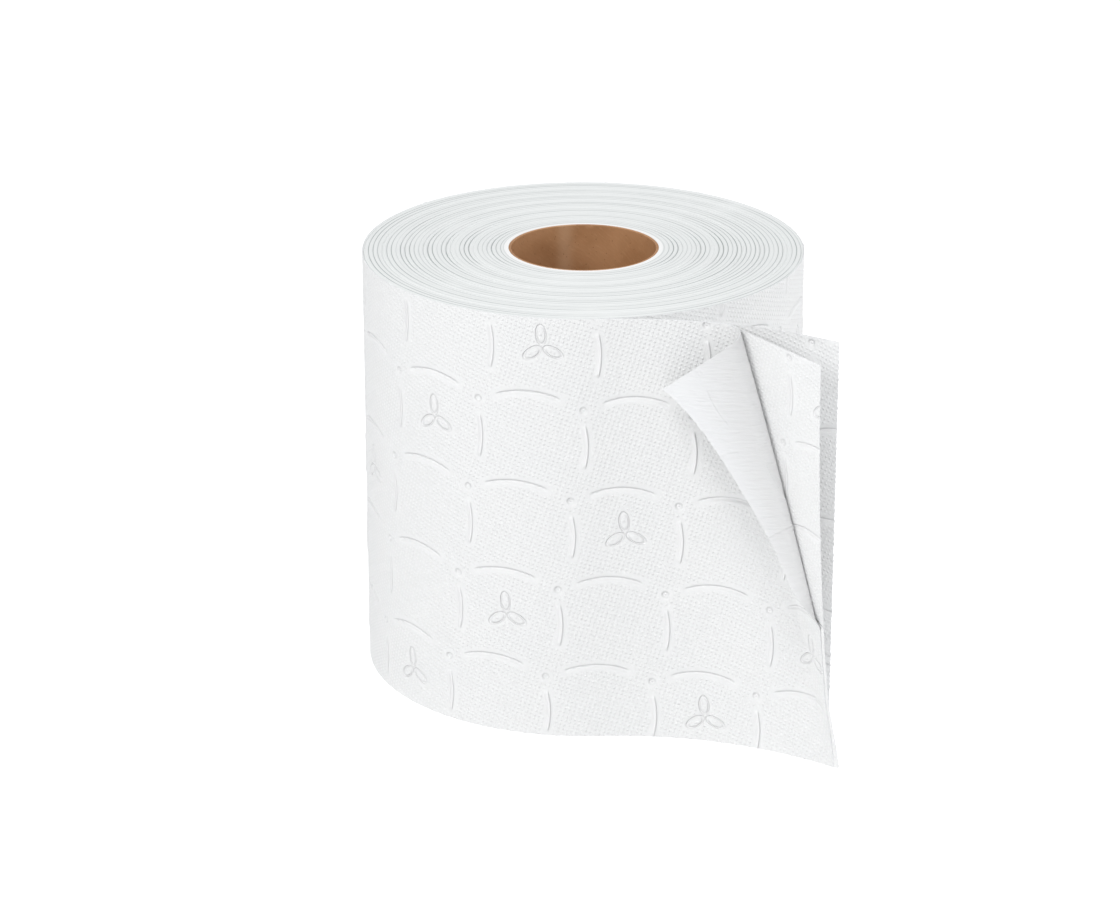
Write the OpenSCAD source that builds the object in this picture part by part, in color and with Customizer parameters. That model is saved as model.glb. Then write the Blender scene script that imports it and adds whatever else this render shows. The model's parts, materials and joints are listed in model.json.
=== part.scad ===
// Three-ply toilet paper roll on a cardboard core, standing on its end, with its last sheet hanging free.
// Origin: on the roll's axis, at the end that it stands on. +Z runs up the axis and -Y is the front.
// The web winds outwards counter-clockwise, seen from above, and leaves the roll at the front, going +X.

/* [Roll] */
// Width of the paper web, which is the height of the roll
roll_h = 114; // [90:0.5:130]
// Diameter over the last turn
roll_d = 116; // [95:0.5:150]
// Angle round the front at which the last turn leaves the roll
leave_angle = 3.5; // [0:0.5:15]

/* [Turns] */
// Turns that show on the end faces, each one standing for a few turns of the web
turns = 24; // [14:1:28]
// Bands of crowded and open turns between the core and the outside
turn_bands = 6; // [1:1:8]
// How strongly the turns crowd together, from even to bunched
band_swing = 0.55; // [0:0.05:0.7]
// Solid ring of tight turns round the core
inner_ring = 1.2; // [0.8:0.1:3]
// Width of the gap between turns
turn_gap = 0.2; // [0.1:0.05:0.3]
// Depth of the gap between turns below the end face
turn_gap_depth = 0.6; // [0.2:0.1:2]

/* [Core tube] */
// Bore of the cardboard tube
core_bore_d = 38; // [30:0.5:45]
// Thickness of the cardboard
core_wall = 0.7; // [0.4:0.1:1.5]

/* [Plies] */
// Thickness of one ply with its crepe
ply_t = 0.15; // [0.1:0.01:0.25]
// Air between two plies that lie on each other
ply_gap = 0.03; // [0.02:0.01:0.06]

/* [Loose end] */
// Length of the web from the roll to the torn edge
tail_len = 62; // [45:1:80]
// Radius of the outward bend of the loose end
tail_bend_r = 89; // [70:1:140]

/* [Middle ply] */
// Where the middle ply starts to part from the back ply at the top, measured along the web
middle_part = 31; // [27:0.5:33]
// Angle through which the middle ply is bent forward
middle_turn = 36; // [15:1:45]
// Radius of its bend at the top
middle_bend_r = 5; // [4:0.5:10]
// Length of the middle ply beyond the back ply's torn edge
middle_extra = 3.5; // [1:0.5:5]
// How the line of its bend bows: 1 is straight, and more bows it towards the torn edge
middle_bow = 1.07; // [1:0.01:1.4]
// Height over which the bend fades out above the bottom edge
middle_fade = 22; // [15:1:40]

/* [Front ply] */
// Where the fold of the front ply starts at the top, measured along the web
front_part = 35; // [34:0.1:38]
// Height at which the fold runs out at the torn edge
front_fold_end = 44; // [30:1:50]
// Angle through which the front ply is folded back
front_turn = 160; // [140:1:165]
// Radius of the fold at the top
front_bend_r = 3.1; // [2.4:0.1:4]
// Length of the front ply beyond the back ply's torn edge
front_extra = 2; // [1:0.5:4]
// More of that length at the top corner, where the tear runs askew
front_skew = 1.8; // [0:0.1:5]
// How the line of the fold bows: 1 is straight, and less bows it towards the roll
front_bow = 0.94; // [0.85:0.01:1.2]
// Height over which the fold opens out above its lower end
front_fade = 17; // [5:1:25]

/* [Hidden] */

paper_white = "#F2F2F1";
paper_edge = "#E3E6E5";
kraft = "#9A7150";
$fn = 96;

// Amount by which a cutter reaches past the face that it cuts
past = 1;

// Radii of the tube and of the roll
core_bore_r = core_bore_d / 2;
core_r = core_bore_r + core_wall;
roll_r = roll_d / 2;

// Thickness of one ply with the air next to it, and of the whole web
ply_step = ply_t + ply_gap;
web_t = 3 * ply_t + 2 * ply_gap;
// Radius at the front of the turn that lies below the last one
under_r = roll_r - web_t;

// Distances from the axis at which the spiral between the turns starts and ends. It ends blind in the
// solid, just short of the place where the web leaves the roll.
first_r = core_r + inner_ring;
last_r = under_r - turn_gap;
// Distance from the axis at which the spiral crosses the front and back line for the nth time
function spiral_r(n) =
    let (share = n / (2 * turns))
    first_r + (last_r - first_r) * (share - band_swing * sin(360 * turn_bands * share) / (2 * PI * turn_bands));

// Flat pieces along the back ply
back_steps = 32;
// Rows of points up a bent ply, and its columns: on the web, on the ply below, round its bend, and beyond
row_steps = 26;
web_steps = 14;
carry_steps = 6;
bend_steps = 10;
flap_steps = 4;
// Width of paper that the front ply's fold leaves flat at its lower end
fold_margin = 0.9;

// A bend line is [top, bottom, end height, angle, radius, bow, fade], where top and bottom are distances
// along the web, the angle and radius are those at the top, and the line stops at the end height.
middle_bend = [middle_part, tail_len, 0, middle_turn, middle_bend_r, middle_bow, middle_fade];
front_bend = [
    front_part, tail_len + front_extra - fold_margin, front_fold_end,
    front_turn, front_bend_r, front_bow, front_fade
];

// How far up its bend line a height lies, from 0 at the line's end to 1 at the top
function up_share(bend, z) = max(0, (z - bend[2]) / (roll_h - bend[2]));
// Distance along the web of the bend line at a height
function line_at(bend, z) = bend[1] - (bend[1] - bend[0]) * pow(up_share(bend, z), bend[5]);
// Slope of the bend line: the change in that distance for each millimetre of height
function line_slope(bend, z) =
    z <= bend[2]
    ? 0
    : -(bend[1] - bend[0]) * bend[5] / (roll_h - bend[2]) * pow(max(up_share(bend, z), 0.001), bend[5] - 1);
// Angle of the bend at a height, which fades out at the line's end
function line_angle(bend, z) = bend[3] * sin(90 * min(1, max(0, z - bend[2]) / bend[6]));
// Radius of the bend at a height, which is tighter where less paper lies beyond the line
function line_radius(bend, z) = bend[4] * (0.35 + 0.65 * (bend[1] - line_at(bend, z)) / (bend[1] - bend[0]));

// A place on the paper is [point, direction along the web, direction up the web, direction out of its front].
// Place on the web's free arc, a distance along it, at a height and a depth below its roll side
function web_place(along, z, depth) =
    let (angle = 90 - along / tail_bend_r * 180 / PI, out = tail_bend_r - depth)
    [
        [out * cos(angle), out * sin(angle) - under_r - tail_bend_r, z],
        [sin(angle), -cos(angle), 0],
        [0, 0, 1],
        [-cos(angle), -sin(angle), 0]
    ];

// Place reached from a place on a bend line by going a distance past it, on paper that turns about the line
function past_line(place, bend, z, past) =
    let (
        slope = line_slope(bend, z),
        angle = line_angle(bend, z),
        radius = line_radius(bend, z),
        down = [-slope, -1] / norm([slope, 1]),
        line_dir = down.x * place[1] + down.y * place[2],
        side_dir = down.x * place[2] - down.y * place[1],
        arc_len = radius * angle * PI / 180,
        away = -down.y * past,
        turned = angle * min(1, away / max(arc_len, 0.001)),
        straight = max(0, away - arc_len),
        side_now = cos(turned) * side_dir + sin(turned) * place[3]
    )
    [
        place[0] + past * down.x * line_dir
            + (radius * sin(turned) + straight * cos(turned)) * side_dir
            + (radius - radius * cos(turned) + straight * sin(turned)) * place[3],
        down.x * line_dir - down.y * side_now,
        down.y * line_dir + down.x * side_now,
        cos(turned) * place[3] - sin(turned) * side_dir
    ];

// Place on the roll side of the middle ply
function middle_place(along, z) =
    let (line = line_at(middle_bend, z))
    along <= line
    ? web_place(along, z, ply_step)
    : past_line(web_place(line, z, ply_step), middle_bend, z, along - line);

// Place on the roll side of the front ply, which lies on the middle ply as far as its own fold
function front_place(along, z) =
    let (
        line = line_at(front_bend, z),
        below = middle_place(min(along, line), z),
        place = [below[0] + ply_step * below[3], below[1], below[2], below[3]]
    )
    along <= line ? place : past_line(place, front_bend, z, along - line);

// Evenly spaced distances from one distance to another, without the first
function spread(from, to, steps) = [for (n = [1 : steps]) from + (to - from) * n / steps];
// Distance past a bend line at which its bend is over, within the paper that is left
function bend_end(bend, z, free) =
    let (slope = line_slope(bend, z))
    min(0.7 * free, 0.1 * free + line_radius(bend, z) * line_angle(bend, z) * PI / 180 * norm([slope, 1]));

// Distances along the web of the columns of points in one row of each bent ply
function middle_columns(z) =
    let (
        line = line_at(middle_bend, z),
        torn = tail_len + middle_extra,
        over = line + bend_end(middle_bend, z, torn - line)
    )
    concat(0, spread(0, line, web_steps), spread(line, over, bend_steps), spread(over, torn, flap_steps));
function front_columns(z) =
    let (
        lift_off = line_at(middle_bend, z),
        line = line_at(front_bend, z),
        torn = tail_len + front_extra + front_skew * pow(z / roll_h, 2),
        over = line + bend_end(front_bend, z, torn - line)
    )
    concat(
        0, spread(0, lift_off, web_steps), spread(lift_off, line, carry_steps),
        spread(line, over, bend_steps), spread(over, torn, flap_steps)
    );

// Half of a ring whose ends lie on the front and back line: side 1 is the right half and -1 the left
module half_ring(inner, outer, height, side) {
    rotate([0, 0, -90 * side])
        rotate_extrude(angle = 180)
            translate([inner, 0])
                square([outer - inner, height]);
}

// Gap between the turns: a spiral of half rings, each one centred so that it meets the next
module turn_spiral() {
    for (n = [0 : 2 * turns - 1]) {
        side = n % 2 == 0 ? 1 : -1;
        ring_r = (spiral_r(n) + spiral_r(n + 1)) / 2;
        shift = (spiral_r(n + 1) - spiral_r(n)) / 2 * side;
        translate([0, shift, -turn_gap_depth])
            half_ring(ring_r - turn_gap, ring_r, turn_gap_depth + past, side);
    }
}

// Closed skin of a bent ply, from rows of places on its roll side: a grid of points there and one in front
module bent_ply(rows) {
    columns = len(rows[0]) - 1;
    points = [
        for (lift = [0, ply_t], row = rows, place = row)
            place[0] + lift * place[3]
    ];
    line = columns + 1;
    sheet = line * (row_steps + 1);
    skins = [
        for (row = [0 : row_steps - 1], column = [0 : columns - 1])
            let (a = row * line + column, b = a + 1, c = a + line, d = c + 1)
            each [[a, c, d], [a, d, b], [sheet + a, sheet + d, sheet + c], [sheet + a, sheet + b, sheet + d]]
    ];
    ends = [
        for (column = [0 : columns - 1])
            let (low = column, high = row_steps * line + column)
            each [
                [low, low + 1, sheet + low + 1], [low, sheet + low + 1, sheet + low],
                [high, sheet + high + 1, high + 1], [high, sheet + high, sheet + high + 1]
            ]
    ];
    edges = [
        for (row = [0 : row_steps - 1])
            let (root = row * line, torn = root + columns)
            each [
                [root, sheet + root + line, root + line], [root, sheet + root, sheet + root + line],
                [torn, torn + line, sheet + torn + line], [torn, sheet + torn + line, sheet + torn]
            ]
    ];
    polyhedron(points, concat(skins, ends, edges), convexity = 6);
}

// Cardboard tube that the web is wound on
module core_tube() {
    color(kraft)
        difference() {
            cylinder(h = roll_h, r = core_r);
            translate([0, 0, -past])
                cylinder(h = roll_h + 2 * past, r = core_bore_r);
        }
}

// All the wound turns: the left half ends a web's thickness further out than the right half starts
module wound_paper() {
    color(paper_edge)
        rotate([0, 0, leave_angle])
            difference() {
                union() {
                    half_ring(0, roll_r, roll_h, -1);
                    translate([0, web_t / 2, 0])
                        half_ring(0, roll_r - web_t / 2, roll_h, 1);
                }
                translate([0, 0, -past])
                    cylinder(h = roll_h + 2 * past, r = core_r);
                translate([0, 0, roll_h])
                    turn_spiral();
                mirror([0, 0, 1])
                    turn_spiral();
            }
}

// Ply next to the roll, which follows the bend of the loose end to the torn edge
module back_ply() {
    stations = concat(0, spread(0, tail_len, back_steps));
    roll_side = [for (along = stations) web_place(along, 0, 0)[0]];
    front_side = [for (n = [back_steps : -1 : 0]) web_place(stations[n], 0, ply_t)[0]];
    color(paper_white)
        rotate([0, 0, leave_angle])
            linear_extrude(roll_h)
                polygon([for (p = concat(roll_side, front_side)) [p.x, p.y]]);
}

// Heights of the rows of points up a bent ply
row_heights = [for (row = [0 : row_steps]) roll_h * row / row_steps];

// Ply between the other two, bent forward along a line from its top edge to its bottom corner
module middle_ply() {
    rows = [for (z = row_heights) [for (along = middle_columns(z)) middle_place(along, z)]];
    color(paper_white)
        rotate([0, 0, leave_angle])
            bent_ply(rows);
}

// Ply that faces out, folded back over itself so that its top corner points to the left
module front_ply() {
    rows = [for (z = row_heights) [for (along = front_columns(z)) front_place(along, z)]];
    color(paper_white)
        rotate([0, 0, leave_angle])
            bent_ply(rows);
}

core_tube();
wound_paper();
back_ply();
middle_ply();
front_ply();
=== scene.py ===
# %% [markdown]
# # A roll of toilet paper
#
# The roll stands on end on a white floor. Its soft, embossed web is wound on a brown board core, and the loose
# end parts into three plies: the back ply hangs by itself, the middle ply bends forward, and the front ply is
# folded back over itself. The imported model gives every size, so the script loads it first and keeps its box.

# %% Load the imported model
import json
from math import cos, pi, radians, sin, sqrt

import bpy
import numpy as np
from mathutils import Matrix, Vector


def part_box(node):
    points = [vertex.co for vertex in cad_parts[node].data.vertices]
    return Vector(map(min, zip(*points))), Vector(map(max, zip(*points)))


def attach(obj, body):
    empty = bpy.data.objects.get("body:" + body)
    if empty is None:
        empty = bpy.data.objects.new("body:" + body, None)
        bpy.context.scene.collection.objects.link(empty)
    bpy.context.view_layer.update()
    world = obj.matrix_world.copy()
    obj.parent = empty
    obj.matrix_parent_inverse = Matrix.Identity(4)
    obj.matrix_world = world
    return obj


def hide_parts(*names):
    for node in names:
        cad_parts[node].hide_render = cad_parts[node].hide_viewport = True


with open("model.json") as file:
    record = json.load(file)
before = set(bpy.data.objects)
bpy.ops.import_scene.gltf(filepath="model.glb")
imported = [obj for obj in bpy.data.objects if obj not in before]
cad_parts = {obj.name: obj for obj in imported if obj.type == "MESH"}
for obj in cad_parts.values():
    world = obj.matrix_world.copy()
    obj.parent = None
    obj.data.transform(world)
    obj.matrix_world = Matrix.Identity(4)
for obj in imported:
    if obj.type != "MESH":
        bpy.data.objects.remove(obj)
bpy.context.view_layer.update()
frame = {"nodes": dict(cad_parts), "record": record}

print("nodes:", ", ".join(sorted(frame["nodes"])))

# %% [markdown]
# ## Sizes
#
# Blender works in metres, but paper is easier to think about in millimetres. Lengths are therefore written in
# millimetres and turned to metres where they meet Blender. The outside sizes are read from the model's boxes and
# the bore from its mount. The bends of the loose plies are the only shapes that a box can't tell, so their
# values are given where the plies are made.

# %% Read the roll's sizes
MM = 0.001


def box_mm(node):
    low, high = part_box(node)
    return np.array(low) / MM, np.array(high) / MM


wound_low, wound_high = box_mm("wound_paper")
core_low, core_high = box_mm("core_tube")
ROLL_R = -wound_low[0]
ROLL_H = wound_high[2]
CORE_R = core_high[0]
BORE_R = next(m["dims"]["r_mm"] for m in frame["record"]["mounts"] if m["kind"] == "bore")
PLY_T = 0.15
PLY_STEP = 0.18
WEB_T = PLY_T + 2 * PLY_STEP
UNDER_R = ROLL_R - WEB_T
print(f"roll {2 * ROLL_R:.0f} x {ROLL_H:.0f} mm, core {2 * CORE_R:.1f} mm outside, bore {2 * BORE_R:.0f} mm")

# %% [markdown]
# ## Camera
#
# The roll is seen from the front and a little above, through a long lens, so its upright sides stay almost
# parallel. The camera stands a metre away and tips down at a point just left of the axis, half way up the roll.

# %% Add the camera
CAMERA_AWAY = 1000
CAMERA_TIP = radians(21.11)
CAMERA_LENS = 120.2
CAMERA_TARGET = (-6.2, 0, 57)


def add_camera():
    back = (0, -cos(CAMERA_TIP), sin(CAMERA_TIP))
    place = [(t + CAMERA_AWAY * b) * MM for t, b in zip(CAMERA_TARGET, back)]
    bpy.ops.object.camera_add(location=place, rotation=(pi / 2 - CAMERA_TIP, 0, 0))
    camera = bpy.context.object
    camera.data.lens = CAMERA_LENS
    camera.data.sensor_width = 36
    return camera


bpy.context.scene.camera = add_camera()
print("camera:", CAMERA_LENS, "mm lens,", CAMERA_AWAY, "mm away")

# %% [markdown]
# ## Colours and nodes
#
# A colour is written as the hex value that a paint program shows and turned to Blender's linear values by one
# function. Another small function adds a node: it sets the node's properties and fills its inputs, in their
# order or by name. An input is a number, a colour, a socket, or another node, which stands for its first output.
# With that one function, a whole material can be written down like a sum.

# %% Define the colour and node helpers
def colour(code):
    parts = [int(code[i : i + 2], 16) / 255 for i in (1, 3, 5)]
    return tuple(p / 12.92 if p <= 0.04045 else ((p + 0.055) / 1.055) ** 2.4 for p in parts) + (1.0,)


def node(tree, kind, *inputs, **settings):
    made = tree.nodes.new("ShaderNode" + kind)
    for key, value in settings.items():
        setattr(made, key, value)
    by_name = inputs[0] if inputs and isinstance(inputs[0], dict) else dict(enumerate(inputs))
    for key, value in by_name.items():
        source = value.outputs[0] if isinstance(value, bpy.types.Node) else value
        if isinstance(source, bpy.types.NodeSocket):
            tree.links.new(source, made.inputs[key])
        else:
            made.inputs[key].default_value = source
    return made


def new_material(name):
    material = bpy.data.materials.new(name)
    material.use_nodes = True
    tree = material.node_tree
    return material, tree, tree.nodes["Principled BSDF"]


print("white paper is", [round(c, 3) for c in colour("#F2F2F1")])

# %% [markdown]
# ## Floor, world and lamps
#
# White paper shows its relief only where light rakes over it. A soft lamp on the left crosses the upright
# strokes, one high in front rakes down over the arches, and a wide one far to the right lights the side that
# those two miss. The world adds an even pale light. The floor is matt white card. It adds a little light of its
# own for the camera alone, so that bare card turns plain white while the roll's soft shadow stays.

# %% Add the floor
FLOOR_SIZE = 8000
FLOOR_GLOW = 0.5


def floor_material():
    material, tree, shader = new_material("white_sweep_card")
    shader.inputs["Base Color"].default_value = colour("#F7F7F7")
    shader.inputs["Roughness"].default_value = 0.9
    shader.inputs["Emission Color"].default_value = colour("#FFFFFF")
    path = node(tree, "LightPath").outputs
    seen = node(tree, "Math", path["Is Camera Ray"], path["Is Glossy Ray"], operation="MAXIMUM")
    glow = node(tree, "Math", seen, FLOOR_GLOW, operation="MULTIPLY")
    tree.links.new(glow.outputs[0], shader.inputs["Emission Strength"])
    return material


bpy.ops.mesh.primitive_plane_add(size=FLOOR_SIZE * MM)
floor = bpy.context.object
floor.name = "floor"
floor.data.materials.append(floor_material())
print("floor:", FLOOR_SIZE * MM, "m of white card")

# %% Add the world and the lamps
WORLD_LIGHT = 0.57
LAMP_AIM = (0, 0, 60)


def add_lamp(name, place, size, power):
    """A round soft lamp, turned so that it looks at the middle of the roll."""
    bpy.ops.object.light_add(type="AREA", location=[p * MM for p in place])
    lamp = bpy.context.object
    lamp.name = name
    lamp.data.shape = "DISK"
    lamp.data.size = size * MM
    lamp.data.energy = power
    away = np.array(place, dtype=float) - LAMP_AIM
    lamp.rotation_euler = (np.arctan2(np.hypot(away[0], away[1]), away[2]), 0, np.arctan2(away[0], -away[1]))


world = bpy.data.worlds.new("pale_room")
bpy.context.scene.world = world
world.use_nodes = True
world.node_tree.nodes["Background"].inputs["Color"].default_value = colour("#FCFDFF")
world.node_tree.nodes["Background"].inputs["Strength"].default_value = WORLD_LIGHT
bpy.context.scene.view_settings.view_transform = "Standard"

add_lamp("side_lamp", (-900, -700, 750), 700, 4.5)
add_lamp("top_lamp", (100, -700, 1300), 600, 5.9)
add_lamp("fill_lamp", (1400, 150, 350), 1000, 5.4)
print("lamps: one on the left, one high in front, a wide one on the right")

# %% [markdown]
# ## The web's path
#
# Think of the paper as one long flat strip. A point on it has a place along the strip and a height. Along is 0
# where the web leaves the roll. It grows towards the torn end and goes below 0 back round the roll. These
# functions turn flat points into places in space, so one pattern can run on from the roll to the loose plies.

# %% Place points of the web in space
LEAVE_ANGLE = 3.5
TAIL_BEND_R = 89


def unit(x, y, z=0):
    return np.stack(np.broadcast_arrays(x, y, z), axis=-1).astype(float)


def turned_by_leave(points):
    c, s = cos(radians(LEAVE_ANGLE)), sin(radians(LEAVE_ANGLE))
    return points @ np.array([[c, s, 0], [-s, c, 0], [0, 0, 1]])


def web_place(along, z, depth):
    """Where the hanging web is, with its three directions: along it, up, and out of its front face."""
    a = pi / 2 - along / TAIL_BEND_R
    out = TAIL_BEND_R - depth
    point = unit(out * np.cos(a), out * np.sin(a) - UNDER_R - TAIL_BEND_R, z)
    return point, unit(np.sin(a), -np.cos(a)), unit(0 * a, 0 * a, 1), unit(-np.cos(a), -np.sin(a))


def roll_place(along):
    """Where the outer turn is, and its outward direction, for points before the web leaves the roll."""
    back = -along
    half = pi * ROLL_R
    left = back <= half
    right_r = ROLL_R - WEB_T / 2
    a = np.where(left, -pi / 2 - back / ROLL_R, pi / 2 - (back - half) / right_r)
    r = np.where(left, ROLL_R, right_r)
    centre = np.where(left, 0, WEB_T / 2)
    return unit(r * np.cos(a), r * np.sin(a) + centre), unit(np.cos(a), np.sin(a))


print("the web leaves the roll at", np.round(turned_by_leave(unit(0, -ROLL_R)), 1), "mm")

# %% [markdown]
# ## Bends in the loose plies
#
# A ply bends about a slanted line that runs from its top edge down to its torn end. Past that line the paper
# follows an arc, then perhaps a softer curl, and then goes straight on. It could be bent by hand with proportional
# editing, but that stretches it, and paper hardly stretches. Working the bend out from the flat sheet keeps its
# area to within 1%. The middle ply bends a little; the front ply rides on it and folds back almost flat, with a
# light curl.
# Each bend is kept as a few numbers: where its line meets the top edge and the torn end, how low it reaches, its
# angle and radius, how much the line bows, and how softly it begins.

# %% Describe the bends
MIDDLE_BEND = dict(top=31, bottom=62, low=0, angle=36, radius=5, bow=1.07, fade=22)
FRONT_BEND = dict(top=35.3, bottom=62.7, low=40, angle=136, radius=3.4, bow=0.95, fade=23, curl=30, curl_long=14)
SMALLEST = 0.35
STRAIGHT_ON = 10 * ROLL_H


def bend_at(bend, z):
    """Where the bend line is at a height, its slope, and the lengths and turns of what follows it."""
    span = bend["bottom"] - bend["top"]
    share = np.clip((z - bend["low"]) / (ROLL_H - bend["low"]), 0, None)
    line = bend["bottom"] - span * share ** bend["bow"]
    slope = -span * bend["bow"] / (ROLL_H - bend["low"]) * np.maximum(share, 0.001) ** (bend["bow"] - 1)
    slope = np.where(z > bend["low"], slope, 0)
    growth = np.sin(pi / 2 * np.clip((z - bend["low"]) / bend["fade"], 0, 1))
    size = SMALLEST + (1 - SMALLEST) * (bend["bottom"] - line) / span
    angle = radians(bend["angle"]) * growth
    arc = (bend["radius"] * size * angle, angle)
    curl = (bend.get("curl_long", 0) * size, radians(bend.get("curl", 0)) * growth)
    return line, slope, [arc, curl, (np.full_like(z, STRAIGHT_ON), 0 * z)]


print("the front ply folds through", FRONT_BEND["angle"], "degrees")

# %% Bend the plies
def past_line(place, bend, z, past):
    """Carry a place on by a distance past the bend line, with the paper turned towards its front."""
    point, along, up, front = place
    line, slope, arcs = bend_at(bend, z)
    long = np.hypot(slope, 1)
    down_x, down_y = (-slope / long)[:, None], (-1 / long)[:, None]
    line_dir = down_x * along + down_y * up
    side = down_x * up - down_y * along
    left = past * -down_y[:, 0]
    turned, to_side, to_front = 0 * left, 0 * left, 0 * left
    for length, turn in arcs:
        part = np.minimum(left, length)
        half = turn * part / np.maximum(length, 0.001) / 2
        chord = part * np.sinc(half / pi)
        to_side = to_side + chord * np.cos(turned + half)
        to_front = to_front + chord * np.sin(turned + half)
        turned, left = turned + 2 * half, left - part
    point = point + past[:, None] * down_x * line_dir + to_side[:, None] * side + to_front[:, None] * front
    c, s = np.cos(turned)[:, None], np.sin(turned)[:, None]
    side_now, front_now = c * side + s * front, c * front - s * side
    return point, down_x * line_dir - down_y * side_now, down_y * line_dir + down_x * side_now, front_now


def middle_place(along, z):
    line = bend_at(MIDDLE_BEND, z)[0]
    place = web_place(np.minimum(along, line), z, PLY_STEP)
    return past_line(place, MIDDLE_BEND, z, np.maximum(0, along - line))


def front_place(along, z):
    line = bend_at(FRONT_BEND, z)[0]
    point, right, up, front = middle_place(np.minimum(along, line), z)
    place = (point + PLY_STEP * front, right, up, front)
    return past_line(place, FRONT_BEND, z, np.maximum(0, along - line))


tip = front_place(np.array([67.5]), np.array([ROLL_H]))[0]
print("the folded corner's tip is at", np.round(turned_by_leave(tip)[0], 1), "mm")

# %% [markdown]
# ## The embossed pattern
#
# Quilted tissue is pressed between rollers, so its pattern repeats in slanted cells: a flat arch on top, an
# upright stroke at the side, a dot where they meet, and in one cell of three a sprig of three leaves. All strokes
# are written as parts of circles. The same list serves twice: it presses the mesh, which gives the relief a real
# depth, and further down it draws the fine profile in the paper's material, where no mesh is fine enough.

# %% Describe the strokes of one cell
CELL_ALONG = (27.5, -1.0)
CELL_UP = (3.2, 24.4)
CELL_START = (30.5, 43.5)
CELL_LEFT = 0.58
CELL_BELOW = 0.88
SPRIG_PLACE = (0.6, -12.2)
LEAF_AWAY = 3.1
LEAF_LONG = 2.5
SPRIG_EVERY = 3
END_FADE = (1.02, 0.8)


def stroke(x, y, facing, radius, reach, squeeze=1.0, outer=0.55, inner=0.85, depth=1.0, sprig=False):
    """Part of a circle about x, y: it faces one way, and reaches so far each way from there, in degrees."""
    return dict(x=x, y=y, facing=radians(facing), radius=radius, reach=radians(reach), squeeze=squeeze,
                outer=outer, inner=inner, depth=depth, sprig=sprig)


def leaf(facing):
    """A leaf is a squeezed circle that stands off the middle of the sprig."""
    x = SPRIG_PLACE[0] + LEAF_AWAY * cos(radians(facing))
    y = SPRIG_PLACE[1] + LEAF_AWAY * sin(radians(facing))
    return stroke(x, y, facing, LEAF_LONG, 180, squeeze=2.0, depth=0.8, sprig=True)


ARCH = stroke(0, -21.6, 90, 21.6, 23.6, inner=0.9)
UPRIGHT = stroke(-35.1, -13.2, 0, 22.9, 15.2, outer=0.45, inner=1.2, depth=-0.9)
DOT = stroke(-13.3, -3.4, 0, 0.4, 180, outer=0.75, inner=0.75)
STROKES = [ARCH, UPRIGHT, DOT] + [leaf(a) for a in (95, 215, 335)]
print(len(STROKES), "strokes in a cell of", CELL_ALONG[0], "x", CELL_UP[1], "mm")

# %% Press the strokes into flat points
def smooth(value, start, end):
    t = np.clip((value - start) / (end - start), 0, 1)
    return t * t * (3 - 2 * t)


def in_cell(along, z):
    """Which cell a flat point is in, and where it is in that cell."""
    x, y = along - CELL_START[0], z - CELL_START[1]
    det = CELL_ALONG[0] * CELL_UP[1] - CELL_ALONG[1] * CELL_UP[0]
    i = (x * CELL_UP[1] - y * CELL_UP[0]) / det
    j = (y * CELL_ALONG[0] - x * CELL_ALONG[1]) / det
    column, row = np.floor(i + CELL_LEFT), np.floor(j + CELL_BELOW)
    i, j = i - column, j - row
    return column, row, i * CELL_ALONG[0] + j * CELL_UP[0], i * CELL_ALONG[1] + j * CELL_UP[1]


def pressed(along, z):
    """How deep the pattern is at flat points: 1 at the deepest, below 0 where it stands proud."""
    column, row, x, y = in_cell(along, z)
    with_sprig = np.mod(column - row, SPRIG_EVERY) == 1
    total = np.zeros_like(x)
    for s in STROKES:
        c, d = cos(s["facing"]), sin(s["facing"])
        out = (x - s["x"]) * c + (y - s["y"]) * d
        side = ((y - s["y"]) * c - (x - s["x"]) * d) * s["squeeze"]
        off = np.hypot(out, side) - s["radius"]
        part = s["depth"] * smooth(off, s["outer"], 0) * smooth(off, -s["inner"], 0)
        if s["reach"] < pi:
            start, end = [s["reach"] * share for share in END_FADE]
            part = part * smooth(np.abs(np.arctan2(side, out)), start, end)
        total += np.where(with_sprig | (not s["sprig"]), part, 0)
    return total


print("deepest point along one arch:", pressed(np.array([30.5]), np.array([43.5])).round(2))

# %% [markdown]
# ## Making a sheet
#
# Every stretch of paper starts as a flat grid primitive. Its points are moved to their places in space, its UV
# map keeps their flat places in millimetres, and the Solidify modifier gives it the thickness of a ply, with the
# back in a material of its own. A cloth simulation could shape the plies too, but not to a fold that has to lie
# where the photograph shows it. A grid also keeps the mesh even, which a pressed pattern needs.

# %% Define helpers for meshes
def deselect():
    if bpy.context.object and bpy.context.object.mode != "OBJECT":
        bpy.ops.object.mode_set(mode="OBJECT")
    bpy.ops.object.select_all(action="DESELECT")


def points_of(mesh):
    points = np.empty(len(mesh.vertices) * 3)
    mesh.vertices.foreach_get("co", points)
    return points.reshape(-1, 3)


def set_points(mesh, points):
    mesh.vertices.foreach_set("co", np.ascontiguousarray(points).ravel())
    mesh.update()


def set_flat_map(mesh, flat):
    corners = np.empty(len(mesh.loops), dtype=np.int32)
    mesh.loops.foreach_get("vertex_index", corners)
    mesh.uv_layers[0].name = "flat"
    mesh.uv_layers["flat"].data.foreach_set("uv", flat[corners].astype(np.float32).ravel())


def apply_modifier(piece, kind, **settings):
    modifier = piece.modifiers.new(kind.lower(), kind)
    for key, value in settings.items():
        setattr(modifier, key, value)
    bpy.context.view_layer.objects.active = piece
    bpy.ops.object.modifier_apply(modifier=modifier.name)

print("mesh helpers are ready")

# %% Define the sheet maker
def add_grid(name, across, up):
    deselect()
    bpy.ops.mesh.primitive_grid_add(x_subdivisions=across, y_subdivisions=up, size=1, calc_uvs=True)
    piece = bpy.context.object
    piece.name = name
    piece.data.name = name
    unit_points = points_of(piece.data)
    return piece, unit_points[:, 0] + 0.5, unit_points[:, 1] + 0.5


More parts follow.
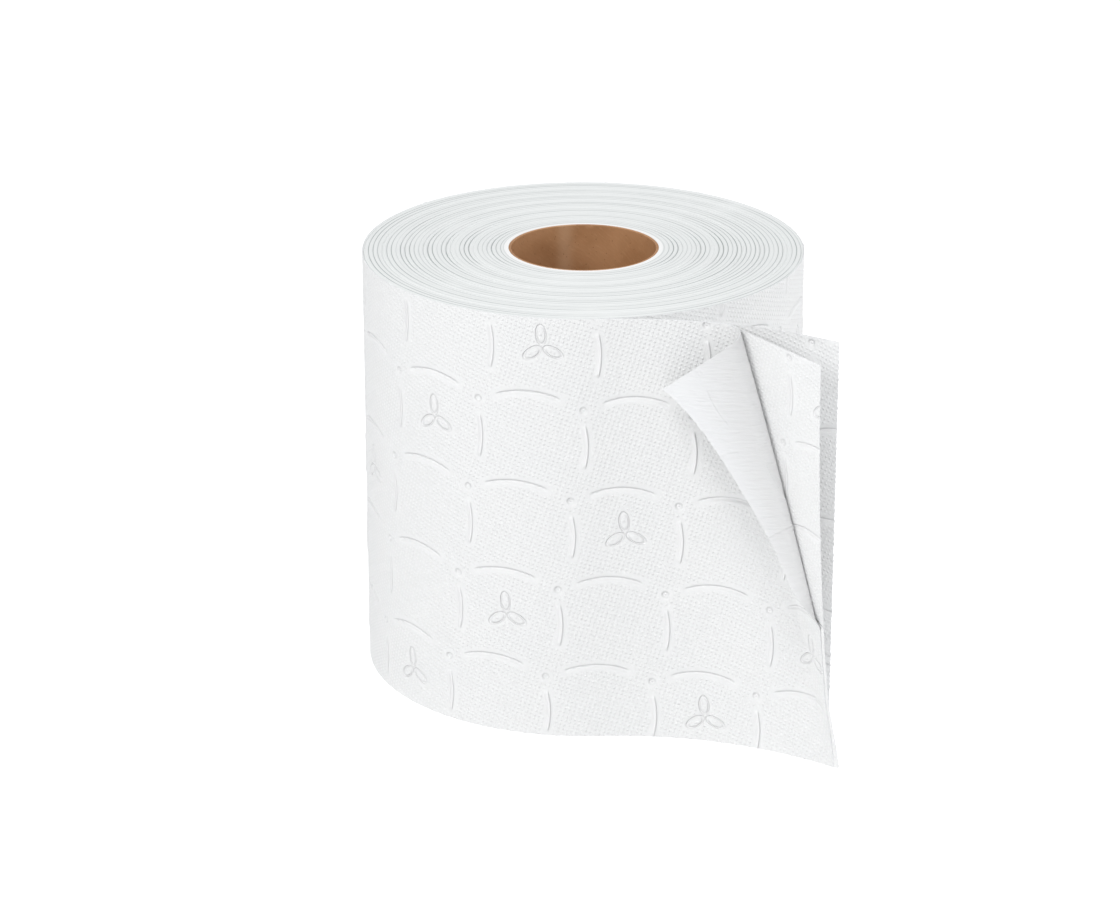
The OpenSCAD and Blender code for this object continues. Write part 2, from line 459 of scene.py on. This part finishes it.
def add_sheet(name, start, end, step, place, materials):
    """A ply from start to end along the web. end may depend on the height, and place gives points and fronts."""
    z_count = round(ROLL_H / step)
    across = round((np.max(end(np.array([0.0, ROLL_H]))) - start) / step)
    piece, x, y = add_grid(name, across, z_count)
    z = y * ROLL_H
    along = start + x * (end(z) - start)
    point, front = place(along, z)
    set_points(piece.data, turned_by_leave(point) * MM)
    set_flat_map(piece.data, np.stack([along, z], axis=1))
    for material in materials:
        piece.data.materials.append(material)
    apply_modifier(piece, "SOLIDIFY", thickness=PLY_T * MM, offset=-1, material_offset=1, material_offset_rim=1)
    bpy.ops.object.shade_smooth_by_angle(angle=radians(50))
    print(f"{name}: {across} x {z_count} cells, {len(piece.data.polygons)} faces")
    return piece


def hand_over(piece, slot, *nodes):
    """Hang a finished piece on the root body and hide the model's nodes that it stands for. slot is not used."""
    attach(piece, "root")
    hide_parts(*nodes)


print("a ply is", PLY_T, "mm thick")


# %% [markdown]
# ## Embossed tissue
#
# The web is creped, through-dried tissue: matt, white with the least touch of grey, and covered with rows of tiny
# bosses about a millimetre apart, which stop short of the deep strokes. Bosses could be mesh too, but the roll
# would then need millions of faces, so bosses, crepe and fibres are bump. The strokes' fine profile comes from
# the flat UV map by the same arithmetic as above, in Math nodes, so it falls exactly on the pressed mesh.

# %% Draw one stroke with nodes
HALO = 1.9
HALO_END = (1.2, 1.02)
SMOOTH = {"interpolation_type": "SMOOTHSTEP"}


def stroke_nodes(tree, x, y, s):
    """The depth of one stroke, and how near it is, at a place in the cell."""
    c, d = cos(s["facing"]), sin(s["facing"])
    x = node(tree, "Math", x, s["x"], operation="SUBTRACT")
    y = node(tree, "Math", y, s["y"], operation="SUBTRACT")
    part = node(tree, "Math", y, d, operation="MULTIPLY")
    out = node(tree, "Math", x, c, part, operation="MULTIPLY_ADD")
    part = node(tree, "Math", x, -d, operation="MULTIPLY")
    side = node(tree, "Math", y, c, part, operation="MULTIPLY_ADD")
    side = node(tree, "Math", side, s["squeeze"], operation="MULTIPLY")
    part = node(tree, "Math", side, side, operation="MULTIPLY")
    squares = node(tree, "Math", out, out, part, operation="MULTIPLY_ADD")
    away = node(tree, "Math", squares, operation="SQRT")
    off = node(tree, "Math", away, s["radius"], operation="SUBTRACT")
    deep_where = [(off, s["outer"], 0), (off, -s["inner"], 0)]
    near_where = [(off, HALO, HALO / 2), (off, -HALO, -HALO / 2)]
    if s["reach"] < pi:
        angle = node(tree, "Math", node(tree, "Math", side, out, operation="ARCTAN2"), operation="ABSOLUTE")
        deep_where.append((angle, *[s["reach"] * share for share in END_FADE]))
        near_where.append((angle, *[s["reach"] * share for share in HALO_END]))
    deep, near = s["depth"], 1.0
    for fade in deep_where:
        deep = node(tree, "Math", deep, node(tree, "MapRange", *fade, **SMOOTH), operation="MULTIPLY")
    for fade in near_where:
        near = node(tree, "Math", near, node(tree, "MapRange", *fade, **SMOOTH), operation="MULTIPLY")
    return deep, near


print("dots keep", HALO / 2, "mm away from a stroke")

# %% Repeat the strokes over the web
def cell_nodes(tree):
    """The flat place in millimetres, the place in the cell, and whether the cell has a sprig."""
    flat = node(tree, "SeparateXYZ", node(tree, "UVMap", uv_map="flat")).outputs
    along, z = flat["X"], flat["Y"]
    x = node(tree, "Math", along, CELL_START[0], operation="SUBTRACT")
    y = node(tree, "Math", z, CELL_START[1], operation="SUBTRACT")
    det = CELL_ALONG[0] * CELL_UP[1] - CELL_ALONG[1] * CELL_UP[0]
    part = node(tree, "Math", y, -CELL_UP[0] / det, operation="MULTIPLY")
    i = node(tree, "Math", x, CELL_UP[1] / det, part, operation="MULTIPLY_ADD")
    part = node(tree, "Math", x, -CELL_ALONG[1] / det, operation="MULTIPLY")
    j = node(tree, "Math", y, CELL_ALONG[0] / det, part, operation="MULTIPLY_ADD")
    column = node(tree, "Math", node(tree, "Math", i, CELL_LEFT, operation="ADD"), operation="FLOOR")
    row = node(tree, "Math", node(tree, "Math", j, CELL_BELOW, operation="ADD"), operation="FLOOR")
    i = node(tree, "Math", i, column, operation="SUBTRACT")
    j = node(tree, "Math", j, row, operation="SUBTRACT")
    part = node(tree, "Math", j, CELL_UP[0], operation="MULTIPLY")
    cell_x = node(tree, "Math", i, CELL_ALONG[0], part, operation="MULTIPLY_ADD")
    part = node(tree, "Math", j, CELL_UP[1], operation="MULTIPLY")
    cell_y = node(tree, "Math", i, CELL_ALONG[1], part, operation="MULTIPLY_ADD")
    apart = node(tree, "Math", column, row, operation="SUBTRACT")
    which = node(tree, "Math", apart, SPRIG_EVERY, operation="FLOORED_MODULO")
    with_sprig = node(tree, "Math", which, 1, 0.1, operation="COMPARE")
    return along, z, cell_x, cell_y, with_sprig


def pattern_nodes(tree):
    """The depth of the whole pattern, how near its strokes are, and the flat place."""
    along, z, x, y, with_sprig = cell_nodes(tree)
    depth, near = 0.0, 0.0
    for s in STROKES:
        part, close = stroke_nodes(tree, x, y, s)
        if s["sprig"]:
            part = node(tree, "Math", part, with_sprig, operation="MULTIPLY")
            close = node(tree, "Math", close, with_sprig, operation="MULTIPLY")
        depth = node(tree, "Math", depth, part, operation="ADD")
        near = node(tree, "Math", near, close, operation="MAXIMUM")
    return depth, near, along, z


print("the pattern is drawn from", len(STROKES), "strokes")

# %% [markdown]
# ## The tissue's two faces
#
# The front shows the bosses, and the strokes sharp, with a painted highlight that tints strokes and bosses whiter.
# The back, which the folded corner turns to the eye, shows fine crepe lines and only a faint print of the strokes,
# turned inside out. Towards the fold it is tinted a little greyer, a painted shade for the crease. One function
# makes both faces, because they belong to one paper and must match. A little light sinks half a millimetre into the
# loose fibres, which softens every shade.

# %% Make the bosses and the painted crease shade
DOT_PITCH = 1.15
DOT_SLANT = radians(28)
DOT_ROUND = 1.5
CREASE_SHADE_WIDE = 29
CREASE_SHADE_SOFT = 4


def dots_nodes(tree, along, z):
    """Tiny bosses in slanted rows, as the product of two waves."""
    wave = 2 * pi / (DOT_PITCH * sqrt(2))
    c, d = wave * cos(DOT_SLANT), wave * sin(DOT_SLANT)
    part = node(tree, "Math", z, d, operation="MULTIPLY")
    first = node(tree, "Math", along, c, part, operation="MULTIPLY_ADD")
    part = node(tree, "Math", z, c, operation="MULTIPLY")
    second = node(tree, "Math", along, -d, part, operation="MULTIPLY_ADD")
    first = node(tree, "Math", first, operation="SINE")
    second = node(tree, "Math", second, operation="SINE")
    waves = node(tree, "Math", first, second, operation="MULTIPLY")
    tops = node(tree, "Math", waves, 0, operation="MAXIMUM")
    return node(tree, "Math", tops, DOT_ROUND, operation="POWER")


def crease_shade_nodes(tree, along, z):
    """How much painted shade the folded corner's back gets: 1 just past the front ply's bend line, 0 at the
    corner's tip.
    """
    low, top, bottom = FRONT_BEND["low"], FRONT_BEND["top"], FRONT_BEND["bottom"]
    share = node(tree, "Math", z, low, operation="SUBTRACT")
    share = node(tree, "Math", share, ROLL_H - low, operation="DIVIDE")
    line = node(tree, "Math", share, top - bottom, bottom, operation="MULTIPLY_ADD")
    size = node(tree, "Math", share, 1 - SMALLEST, SMALLEST, operation="MULTIPLY_ADD")
    past = node(tree, "Math", along, line, operation="SUBTRACT")
    past = node(tree, "Math", past, size, operation="DIVIDE")
    before = node(tree, "MapRange", past, CREASE_SHADE_WIDE, CREASE_SHADE_SOFT, **SMOOTH)
    after = node(tree, "MapRange", past, -2, 1, **SMOOTH)
    return node(tree, "Math", before, after, operation="MULTIPLY")


print("bosses every", DOT_PITCH, "mm")

# %% Make the tissue materials
STROKE_BUMP = 0.4
PRINT_BUMP = 0.12
DOT_BUMP = 0.17
CLOUD_WIDE = 16.7
SINK_DEPTH = 0.5
FRONT_FACE = dict(crepe_turn=0.0, crepe_size=(0.625, 2), crepe_bump=0.02, tints=("#F2F3F3", "#F6F6F5"))
BACK_FACE = dict(crepe_turn=radians(30), crepe_size=(4.55, 0.8), crepe_bump=0.3, tints=("#F2F3F4", "#F6F7F8"))


def tissue_material(name, face):
    """Matt paper with no gloss: soft bosses and strokes on its front, crepe lines on its back."""
    material, tree, shader = new_material(name)
    depth, near, along, z = pattern_nodes(tree)
    flat = node(tree, "CombineXYZ", along, z)
    turned = {"Vector": flat, "Angle": -face["crepe_turn"]}
    turned = node(tree, "VectorRotate", turned, rotation_type="Z_AXIS")
    per_mm = [1 / size for size in face["crepe_size"]] + [1]
    crepe = node(tree, "VectorMath", turned, per_mm, operation="MULTIPLY")
    crepe = node(tree, "TexNoise", {"Vector": crepe, "Scale": 1, "Detail": 3})
    height = node(tree, "Math", crepe, face["crepe_bump"], operation="MULTIPLY")
    cloud = node(tree, "TexNoise", {"Vector": flat, "Scale": 1 / CLOUD_WIDE, "Detail": 2})
    low, high = [colour(code) for code in face["tints"]]
    tint = node(tree, "MixRGB", cloud, low, high)
    if face is BACK_FACE:
        height = node(tree, "Math", depth, -PRINT_BUMP, height, operation="MULTIPLY_ADD")
        # painted shade: the back of the folded corner is tinted grey towards the fold, standing in for the crease's
        # shade
        tint = node(tree, "MixRGB", crease_shade_nodes(tree, along, z), tint, colour("#DEDEDE"))
    else:
        away = node(tree, "Math", 1, near, operation="SUBTRACT")
        dots = node(tree, "Math", dots_nodes(tree, along, z), away, operation="MULTIPLY")
        height = node(tree, "Math", dots, DOT_BUMP, height, operation="MULTIPLY_ADD")
        height = node(tree, "Math", depth, -STROKE_BUMP, height, operation="MULTIPLY_ADD")
        # painted highlight: the strokes and the bosses are tinted whiter, standing in for the light that catches
        # their slopes
        painted_highlight = node(tree, "Math", depth, operation="ABSOLUTE")
        painted_highlight = node(tree, "Math", dots, 0.8, painted_highlight, operation="MULTIPLY_ADD")
        tint = node(tree, "MixRGB", painted_highlight, tint, colour("#FDFDFD"))
    bump = node(tree, "Bump", {"Height": height, "Strength": 1, "Distance": MM})
    tree.links.new(tint.outputs[0], shader.inputs["Base Color"])
    tree.links.new(bump.outputs[0], shader.inputs["Normal"])
    shader.inputs["Subsurface Weight"].default_value = 0.2
    shader.inputs["Subsurface Radius"].default_value = (1, 1, 1)
    shader.inputs["Subsurface Scale"].default_value = SINK_DEPTH * MM
    shader.inputs["Roughness"].default_value = 0.95
    shader.inputs["Specular IOR Level"].default_value = 0.2
    return material


tissue_front = tissue_material("embossed_creped_tissue", FRONT_FACE)
tissue_back = tissue_material("creped_tissue_inner_face", BACK_FACE)
print("tissue:", len(tissue_front.node_tree.nodes), "nodes on its front")

# %% [markdown]
# ## The front ply
#
# One sheet runs from the left side of the roll over the leaving line to the folded corner, so no seam crosses
# the part that the eye rests on. Its torn end follows the perforation, with little tufts of paper between the
# cuts. It bulges towards the top corner, because a hand tears a sheet off unevenly.

# %% Tear the web's end
SHEET_STEP = 0.6
FRONT_START = -70
FRONT_END = 64
FRONT_DIP = 2.3
DIP_HEIGHTS = (45, 72)
FRONT_CORNER = 5.8
CORNER_SHARP = 10
TUFT = 0.3
TUFT_PITCH = 1.5


def tufts(z, seed):
    """A ragged torn edge: short tufts at the perforation's pitch, each of its own length."""
    lengths = np.random.default_rng(seed).uniform(0.2, 1, int(ROLL_H / TUFT_PITCH) + 2)
    k = np.clip((z / TUFT_PITCH).astype(int), 0, len(lengths) - 1)
    return TUFT * lengths[k] * np.abs(np.sin(pi * z / TUFT_PITCH))


def front_end(z):
    dip = FRONT_DIP * smooth(z, *DIP_HEIGHTS)
    return FRONT_END - dip + FRONT_CORNER * (z / ROLL_H) ** CORNER_SHARP + tufts(z, 3)


print("the front ply ends", front_end(np.array([0.0, ROLL_H])).round(1), "mm past the leaving line")

# %% Make the front ply
PRESS = 0.24


def pressed_point(point, front, along, z, lift):
    return point + front * (lift - PRESS * pressed(along, z))[:, None]


def front_web(along, z):
    on_roll, out = roll_place(np.minimum(along, 0))
    on_roll = on_roll + unit(0 * z, 0 * z, z)
    hanging = front_place(np.maximum(along, 0), z)
    wound = (along < 0)[:, None]
    point = np.where(wound, on_roll, hanging[0] + PLY_T * hanging[3])
    front = np.where(wound, out, hanging[3])
    return pressed_point(point, front, along, z, 0), front


front_ply = add_sheet("front_ply_sheet", FRONT_START, front_end, SHEET_STEP, front_web, [tissue_front, tissue_back])
hand_over(front_ply, "tissue", "front_ply", "wound_paper")

# %% [markdown]
# ## The middle and back plies
#
# The middle ply shows as a narrow triangle beside the fold, and the back ply beyond it. They carry the same
# pattern in the same places, as plies that went through the rollers together do. Less of them shows, so their
# grids are a little coarser.

# %% Make the middle and back plies
MIDDLE_END = 65.5
BACK_END = 62
INNER_STEP = 0.75


def middle_web(along, z):
    point, _, _, front = middle_place(along, z)
    return pressed_point(point, front, along, z, PLY_T), front


def back_web(along, z):
    point, _, _, front = web_place(along, z, 0 * z)
    return pressed_point(point, front, along, z, PLY_T), front


def middle_end(z):
    return MIDDLE_END + tufts(z, 5)


def back_end(z):
    return BACK_END + tufts(z, 8)


middle_ply = add_sheet("middle_ply_sheet", 0, middle_end, INNER_STEP, middle_web, [tissue_front, tissue_back])
hand_over(middle_ply, "tissue", "middle_ply")
back_ply = add_sheet("back_ply_sheet", 0, back_end, INNER_STEP, back_web, [tissue_front, tissue_back])
hand_over(back_ply, "tissue", "back_ply")

# %% [markdown]
# ## The rest of the outer turn
#
# Behind the front ply the outer turn runs on round the roll in two more stretches, and ends behind the loose
# plies, where the next turn begins. The stretches meet edge to edge, with the pattern running through.

# %% Make the outer turn
BACK_STEP = 0.66
TURN_LENGTH = pi * ROLL_R + pi * (ROLL_R - WEB_T / 2)


def outer_web(along, z):
    point, out = roll_place(along)
    point = point + unit(0 * z, 0 * z, z)
    return pressed_point(point, out, along, z, 0.0), out


def add_outer_turn(name, start, end):
    piece = add_sheet(name, start, lambda z: end + 0 * z, BACK_STEP, outer_web, [tissue_front, tissue_back])
    hand_over(piece, "tissue", "wound_paper")
    return piece


half_way = (FRONT_START - TURN_LENGTH) / 2
add_outer_turn("outer_turn_back", half_way, FRONT_START)
add_outer_turn("outer_turn_right", -TURN_LENGTH, half_way)

# %% [markdown]
# ## The wound turns
#
# On the end faces the edges of the turns show as fine rings, in fact one long spiral. The body starts as a grid
# that is rolled up into a ring: one way it runs round the roll's section, over the top, down the core, over the
# bottom and up the outside, and the other way it goes once round the axis. Each ring moves out by one pitch in a
# turn, so the grooves join into a spiral where the ends meet. Turns of real paper are half a millimetre thick;
# they are drawn about a millimetre apart, as wide as the eye can still tell them from each other.

# %% Make the wound turns
TURN_COUNT = 32
ROUND_STEPS = 232
BODY_GAP = 0.05
TURN_POINTS = np.array([0.0, 0.1, 0.28, 0.5, 0.72, 0.9])
GROOVE_WIDTH = 0.13
SMOOTH_RING = 2.6
EDGE_SOFT = 0.35


def groove_depth(turns, seed):
    """How deep the groove is after so many turns: deep ones come in clusters, with calm bands between."""
    rng = np.random.default_rng(seed)
    cluster = 0.5 + 0.5 * np.sin(np.arange(TURN_COUNT + 3) * 1.35 + rng.uniform(0, 6))
    depth = 0.06 + 0.5 * cluster ** 2 * rng.uniform(0.5, 1, TURN_COUNT + 3)
    return np.interp(turns, np.arange(TURN_COUNT + 3), depth)


def body_radius(share):
    """The radius inside the outer turn's sheet, at a share of a turn after the leaving line."""
    along = -TURN_LENGTH * (1 - share)
    point = roll_place(along)[0]
    return np.hypot(point[..., 0], point[..., 1]) - PLY_T - BODY_GAP


TURN_PITCH = (body_radius(np.array([1.0]))[0] - CORE_R) / TURN_COUNT


def end_face(face_points, share, seed):
    """Radius and groove depth for points counted from the core outwards."""
    turn = np.floor_divide(face_points, len(TURN_POINTS))
    phase = TURN_POINTS[np.mod(face_points, len(TURN_POINTS))]
    turns = turn + share
    radius = CORE_R + TURN_PITCH * (turn + phase + share - 1)
    outer = body_radius(share)
    near = np.minimum(phase, 1 - phase)
    depth = groove_depth(turns + phase, seed) * np.exp(-((near / GROOVE_WIDTH) ** 2))
    calm = smooth(radius, CORE_R + 0.2, CORE_R + SMOOTH_RING) * smooth(radius, outer, outer - EDGE_SOFT)
    return np.clip(radius, CORE_R, outer), depth * (0.12 + 0.88 * calm) * (radius < outer) * (radius > CORE_R)


def add_wound_turns():
    face = (TURN_COUNT + 2) * len(TURN_POINTS)
    piece, x, y = add_grid("wound_turns", 2 * face, ROUND_STEPS)
    order = np.mod(np.rint(x * 2 * face).astype(int), 2 * face)
    share = np.rint(y * ROUND_STEPS) / ROUND_STEPS
    on_top = order < face
    count = np.where(on_top, face - 1 - order, order - face)
    top_r, top_d = end_face(count, share, 11)
    low_r, low_d = end_face(count, share, 12)
    radius = np.where(on_top, top_r, low_r)
    z = np.where(on_top, ROLL_H - top_d, low_d)
    angle = -pi / 2 + 2 * pi * share
    set_points(piece.data, turned_by_leave(unit(radius * np.cos(angle), radius * np.sin(angle), z)) * MM)
    return piece


def close_body(piece):
    """Join what meets, and close the small step where the outer turn leaves."""
    bpy.ops.object.mode_set(mode="EDIT")
    bpy.ops.mesh.select_all(action="SELECT")
    bpy.ops.mesh.remove_doubles(threshold=0.004 * MM)
    bpy.ops.mesh.select_all(action="DESELECT")
    bpy.ops.mesh.select_mode(type="EDGE")
    bpy.ops.mesh.select_non_manifold(extend=False, use_wire=True, use_multi_face=False, use_verts=False)
    bpy.ops.mesh.edge_face_add()
    bpy.ops.mesh.select_all(action="SELECT")
    bpy.ops.mesh.normals_make_consistent(inside=False)
    bpy.ops.object.mode_set(mode="OBJECT")
    print(f"{piece.name}: {len(piece.data.polygons)} faces")


wound_turns = add_wound_turns()
close_body(wound_turns)

# %% [markdown]
# ## Slit edges of the turns
#
# The end faces are where the wide web was slit to roll width: fuzzy paper edges that hold a little shade between
# the turns. The pattern follows the spiral, so it reads the radius and the angle from Object coordinates and adds
# them up to a count of turns. Noise of that count makes some lines darker and others faint.

# %% Make the slit edge material
LINE_WIDE = 0.19
FINE_LINES = 3
BRIGHT_RING_REACH = 1.3
RING_SOFT = 0.3
BAND_TURNS = 2.22
SHADE_WIDE = 22.2
FUZZ_WIDE = 1.43


def turns_nodes(tree, radius, x, y):
    """Turns counted from the core to the leaving line, along the radius and along the spiral."""
    angle = node(tree, "Math", y, x, operation="ARCTAN2")
    angle = node(tree, "Math", angle, radians(LEAVE_ANGLE) - pi / 2, operation="SUBTRACT")
    angle = node(tree, "Math", angle, 2 * pi, operation="DIVIDE")
    from_core = node(tree, "Math", radius, CORE_R, operation="SUBTRACT")
    from_core = node(tree, "Math", from_core, TURN_PITCH, operation="DIVIDE")
    return from_core, node(tree, "Math", from_core, angle, operation="SUBTRACT")


def slit_edge_material():
    """Fuzzy cut paper: no gloss at all, white fibres, grey lines of painted shade where the light doesn't reach,
    and a painted bright ring round the core.
    """
    material, tree, shader = new_material("slit_tissue_edges")
    place = node(tree, "TexCoord").outputs["Object"]
    parts = node(tree, "SeparateXYZ", place).outputs
    x, y = parts["X"], parts["Y"]
    squares = node(tree, "Math", x, x, node(tree, "Math", y, y, operation="MULTIPLY"), operation="MULTIPLY_ADD")
    radius = node(tree, "Math", node(tree, "Math", squares, operation="SQRT"), MM, operation="DIVIDE")
    from_core, turns = turns_nodes(tree, radius, x, y)
    line = node(tree, "Math", turns, 0.5, operation="PINGPONG")
    line = node(tree, "MapRange", line, LINE_WIDE, 0, **SMOOTH)
    band = node(tree, "TexNoise", {"W": from_core, "Scale": 1 / BAND_TURNS, "Detail": 2}, noise_dimensions="1D")
    strong = node(tree, "MapRange", band, 0.3, 0.62, **SMOOTH)
    line = node(tree, "Math", line, strong, operation="MULTIPLY")
    fine = node(tree, "Math", turns, FINE_LINES, operation="MULTIPLY")
    fine = node(tree, "MapRange", node(tree, "Math", fine, 0.5, operation="PINGPONG"), 0.3, 0, **SMOOTH)
    fine = node(tree, "Math", fine, 0.14, operation="MULTIPLY")
    shade = node(tree, "TexNoise", {"Vector": place, "Scale": 1 / (SHADE_WIDE * MM), "Detail": 2})
    shade = node(tree, "MapRange", shade, 0.15, 0.5, **SMOOTH)
    calm = node(tree, "MapRange", radius, CORE_R + 1, CORE_R + SMOOTH_RING, **SMOOTH)
    calm = node(tree, "Math", calm, shade, operation="MULTIPLY")
    dark = node(tree, "Math", line, fine, operation="MAXIMUM")
    dark = node(tree, "Math", dark, calm, operation="MULTIPLY")
    # painted highlight: a brighter ring of paper round the core, edged by a grey line of painted shade
    ring = node(tree, "Math", radius, CORE_R + BRIGHT_RING_REACH, operation="SUBTRACT")
    ring = node(tree, "Math", ring, operation="ABSOLUTE")
    ring = node(tree, "MapRange", ring, RING_SOFT, 0, **SMOOTH)
    dark = node(tree, "Math", ring, 0.28, dark, operation="MULTIPLY_ADD")
    painted_ring_highlight = node(tree, "MapRange", radius, CORE_R + BRIGHT_RING_REACH, CORE_R + BRIGHT_RING_REACH - RING_SOFT, **SMOOTH)
    paper = node(tree, "MixRGB", painted_ring_highlight, colour("#EEF0EF"), colour("#FAFAF9"))
    tint = node(tree, "MixRGB", dark, paper, colour("#A9AFAE"))
    fuzz = node(tree, "TexNoise", {"Vector": place, "Scale": 1 / (FUZZ_WIDE * MM), "Detail": 2})
    height = node(tree, "Math", fuzz, 0.05, operation="MULTIPLY")
    bump = node(tree, "Bump", {"Height": height, "Strength": 1, "Distance": MM})
    tree.links.new(tint.outputs[0], shader.inputs["Base Color"])
    tree.links.new(bump.outputs[0], shader.inputs["Normal"])
    shader.inputs["Roughness"].default_value = 1.0
    shader.inputs["Specular IOR Level"].default_value = 0.1
    return material


wound_turns.data.materials.append(slit_edge_material())
deselect()
wound_turns.select_set(True)
bpy.context.view_layer.objects.active = wound_turns
bpy.ops.object.shade_smooth_by_angle(angle=radians(60))
hand_over(wound_turns, "tissue", "wound_paper")
print("wound turns finished, with", TURN_COUNT, "drawn turns")

# %% [markdown]
# ## The board core
#
# The core is two strips of kraft board, glued and wound on a slant, then sawn to length. That leaves a slanted
# seam down the bore and a fine line between the plies on the cut edge. Its section is a narrow upright plane,
# cut up along its inner edge and top, stripped to its outline and spun round the axis.

# %% Make the core
CORE_STEPS = 168
CORE_CUTS = 130
SEAM_LEAD = 150
SEAM_WIDE = 0.7
SEAM_DEEP = 0.16


def pick_edges(piece, test):
    """Select the edges whose two ends both pass a test, and nothing else."""
    bpy.ops.mesh.select_all(action="DESELECT")
    bpy.ops.object.mode_set(mode="OBJECT")
    mesh = piece.data
    ends = [test(v.co / MM) for v in mesh.vertices]
    for edge in mesh.edges:
        edge.select = all(ends[v] for v in edge.vertices)
    bpy.ops.object.mode_set(mode="EDIT")


def add_core():
    deselect()
    wall = CORE_R - BORE_R
    middle = (CORE_R + BORE_R) / 2
    bpy.ops.mesh.primitive_plane_add(size=1, location=(middle * MM, 0, ROLL_H / 2 * MM), rotation=(pi / 2, 0, 0))
    piece = bpy.context.object
    piece.name = piece.data.name = "board_core"
    piece.scale = (wall * MM, ROLL_H * MM, 1)
    bpy.ops.object.transform_apply(location=True, rotation=True, scale=True)
    bpy.ops.object.mode_set(mode="EDIT")
    bpy.ops.mesh.select_mode(type="EDGE")
    pick_edges(piece, lambda p: p.x < middle)
    bpy.ops.mesh.subdivide(number_cuts=CORE_CUTS)
    pick_edges(piece, lambda p: p.z > ROLL_H - 0.01)
    bpy.ops.mesh.subdivide(number_cuts=5)
    pick_edges(piece, lambda p: p.z < 0.01)
    bpy.ops.mesh.subdivide(number_cuts=5)
    bpy.ops.mesh.select_all(action="SELECT")
    bpy.ops.mesh.delete(type="ONLY_FACE")
    bpy.ops.mesh.select_all(action="SELECT")
    bpy.ops.mesh.spin(steps=CORE_STEPS, angle=2 * pi, center=(0, 0, 0), axis=(0, 0, 1))
    bpy.ops.mesh.select_all(action="SELECT")
    bpy.ops.mesh.remove_doubles(threshold=0.004 * MM)
    bpy.ops.mesh.normals_make_consistent(inside=False)
    bpy.ops.object.mode_set(mode="OBJECT")
    return piece


def shape_core(piece):
    """Press in the slanted seam and the line between the plies, and soften the cut edges."""
    points = points_of(piece.data) / MM
    x, y, z = points.T
    radius = np.hypot(x, y)
    angle = np.arctan2(y, x)
    middle = (CORE_R + BORE_R) / 2
    turn = np.mod(angle / (2 * pi) + z / SEAM_LEAD, 1.0)
    off = np.minimum(turn, 1 - turn) * 2 * pi * BORE_R
    inside = radius < BORE_R + 0.02
    seam = np.where(inside, SEAM_DEEP * smooth(off, SEAM_WIDE, 0), 0)
    on_end = (z > ROLL_H - 0.01) | (z < 0.01)
    edge = np.abs(radius - middle) / (CORE_R - middle)
    drop = np.where(on_end, 0.12 * smooth(edge, 0.35, 0) + 0.12 * smooth(edge, 0.7, 1.05), 0)
    z = np.where(z > ROLL_H / 2, z - drop, z + drop)
    radius = radius + seam
    set_points(piece.data, unit(radius * np.cos(angle), radius * np.sin(angle), z) * MM)
    print(f"{piece.name}: {len(piece.data.polygons)} faces")


board_core = add_core()
shape_core(board_core)

# %% [markdown]
# ## Kraft board
#
# Core board is recycled kraft: warm brown, pressed smooth so that it has a slight sheen, with darker specks and
# short fibres that run along the strip. The fibres follow the slanted wind.

# %% Make the kraft board material
GLOSS_BAND_ANGLE = radians(105)
GLOSS_BAND_WIDE = radians(11)
WIND_SLANT = 0.8
FIBRES_PER_MM = 1.4
FIBRE_STRETCH = 4
CLOUD_SIZE = 11.1
SPECK_APART = 1.25


def kraft_material():
    """Pressed brown board: a slight sheen, fibres along the wind, and a paler upright stripe that is a painted
    reflection.
    """
    material, tree, shader = new_material("calendered_kraft_board")
    place = node(tree, "TexCoord").outputs["Object"]
    parts = node(tree, "SeparateXYZ", place).outputs
    angle = node(tree, "Math", parts["Y"], parts["X"], operation="ARCTAN2")
    around = node(tree, "Math", angle, BORE_R, operation="MULTIPLY")
    height = node(tree, "Math", parts["Z"], MM, operation="DIVIDE")
    along = node(tree, "Math", height, WIND_SLANT, around, operation="MULTIPLY_ADD")
    along = node(tree, "Math", along, 1 / FIBRE_STRETCH, operation="MULTIPLY")
    across = node(tree, "Math", around, -WIND_SLANT, height, operation="MULTIPLY_ADD")
    board = node(tree, "CombineXYZ", along, across)
    fibre = node(tree, "TexNoise", {"Vector": board, "Scale": FIBRES_PER_MM, "Detail": 4})
    cloud = node(tree, "TexNoise", {"Vector": place, "Scale": 1 / (CLOUD_SIZE * MM), "Detail": 3})
    cloud = node(tree, "MapRange", cloud, 0.3, 0.7, **SMOOTH)
    base = node(tree, "MixRGB", cloud, colour("#B2835A"), colour("#C2936A"))
    lit = node(tree, "MapRange", fibre, 0.5, 0.9, **SMOOTH)
    fibres = node(tree, "MixRGB", lit, base, colour("#CA9C73"))
    # painted reflection: a paler upright stripe down the board, standing in for a glossy reflection on the inner
    # wall
    gloss_band = node(tree, "Math", angle, GLOSS_BAND_ANGLE, operation="SUBTRACT")
    gloss_band = node(tree, "Math", gloss_band, operation="ABSOLUTE")
    gloss_band = node(tree, "MapRange", gloss_band, GLOSS_BAND_WIDE, 0, **SMOOTH)
    gloss_band = node(tree, "Math", gloss_band, 0.45, operation="MULTIPLY")
    with_gloss_band = node(tree, "MixRGB", gloss_band, fibres, colour("#D9B592"))
    speck = node(tree, "TexVoronoi", {"Vector": place, "Scale": 1 / (SPECK_APART * MM), "Randomness": 1})
    speck = node(tree, "MapRange", speck, 0.15, 0.03, **SMOOTH)
    specks = node(tree, "MixRGB", speck, with_gloss_band, colour("#86592F"))
    height = node(tree, "Math", fibre, 0.05, operation="MULTIPLY")
    bump = node(tree, "Bump", {"Height": height, "Strength": 1, "Distance": MM})
    tree.links.new(specks.outputs[0], shader.inputs["Base Color"])
    tree.links.new(bump.outputs[0], shader.inputs["Normal"])
    shader.inputs["Roughness"].default_value = 0.48
    shader.inputs["IOR"].default_value = 1.5
    return material


board_core.data.materials.append(kraft_material())
deselect()
board_core.select_set(True)
bpy.context.view_layer.objects.active = board_core
bpy.ops.object.shade_smooth_by_angle(angle=radians(40))
hand_over(board_core, "core_board", "core_tube")
print("core finished")
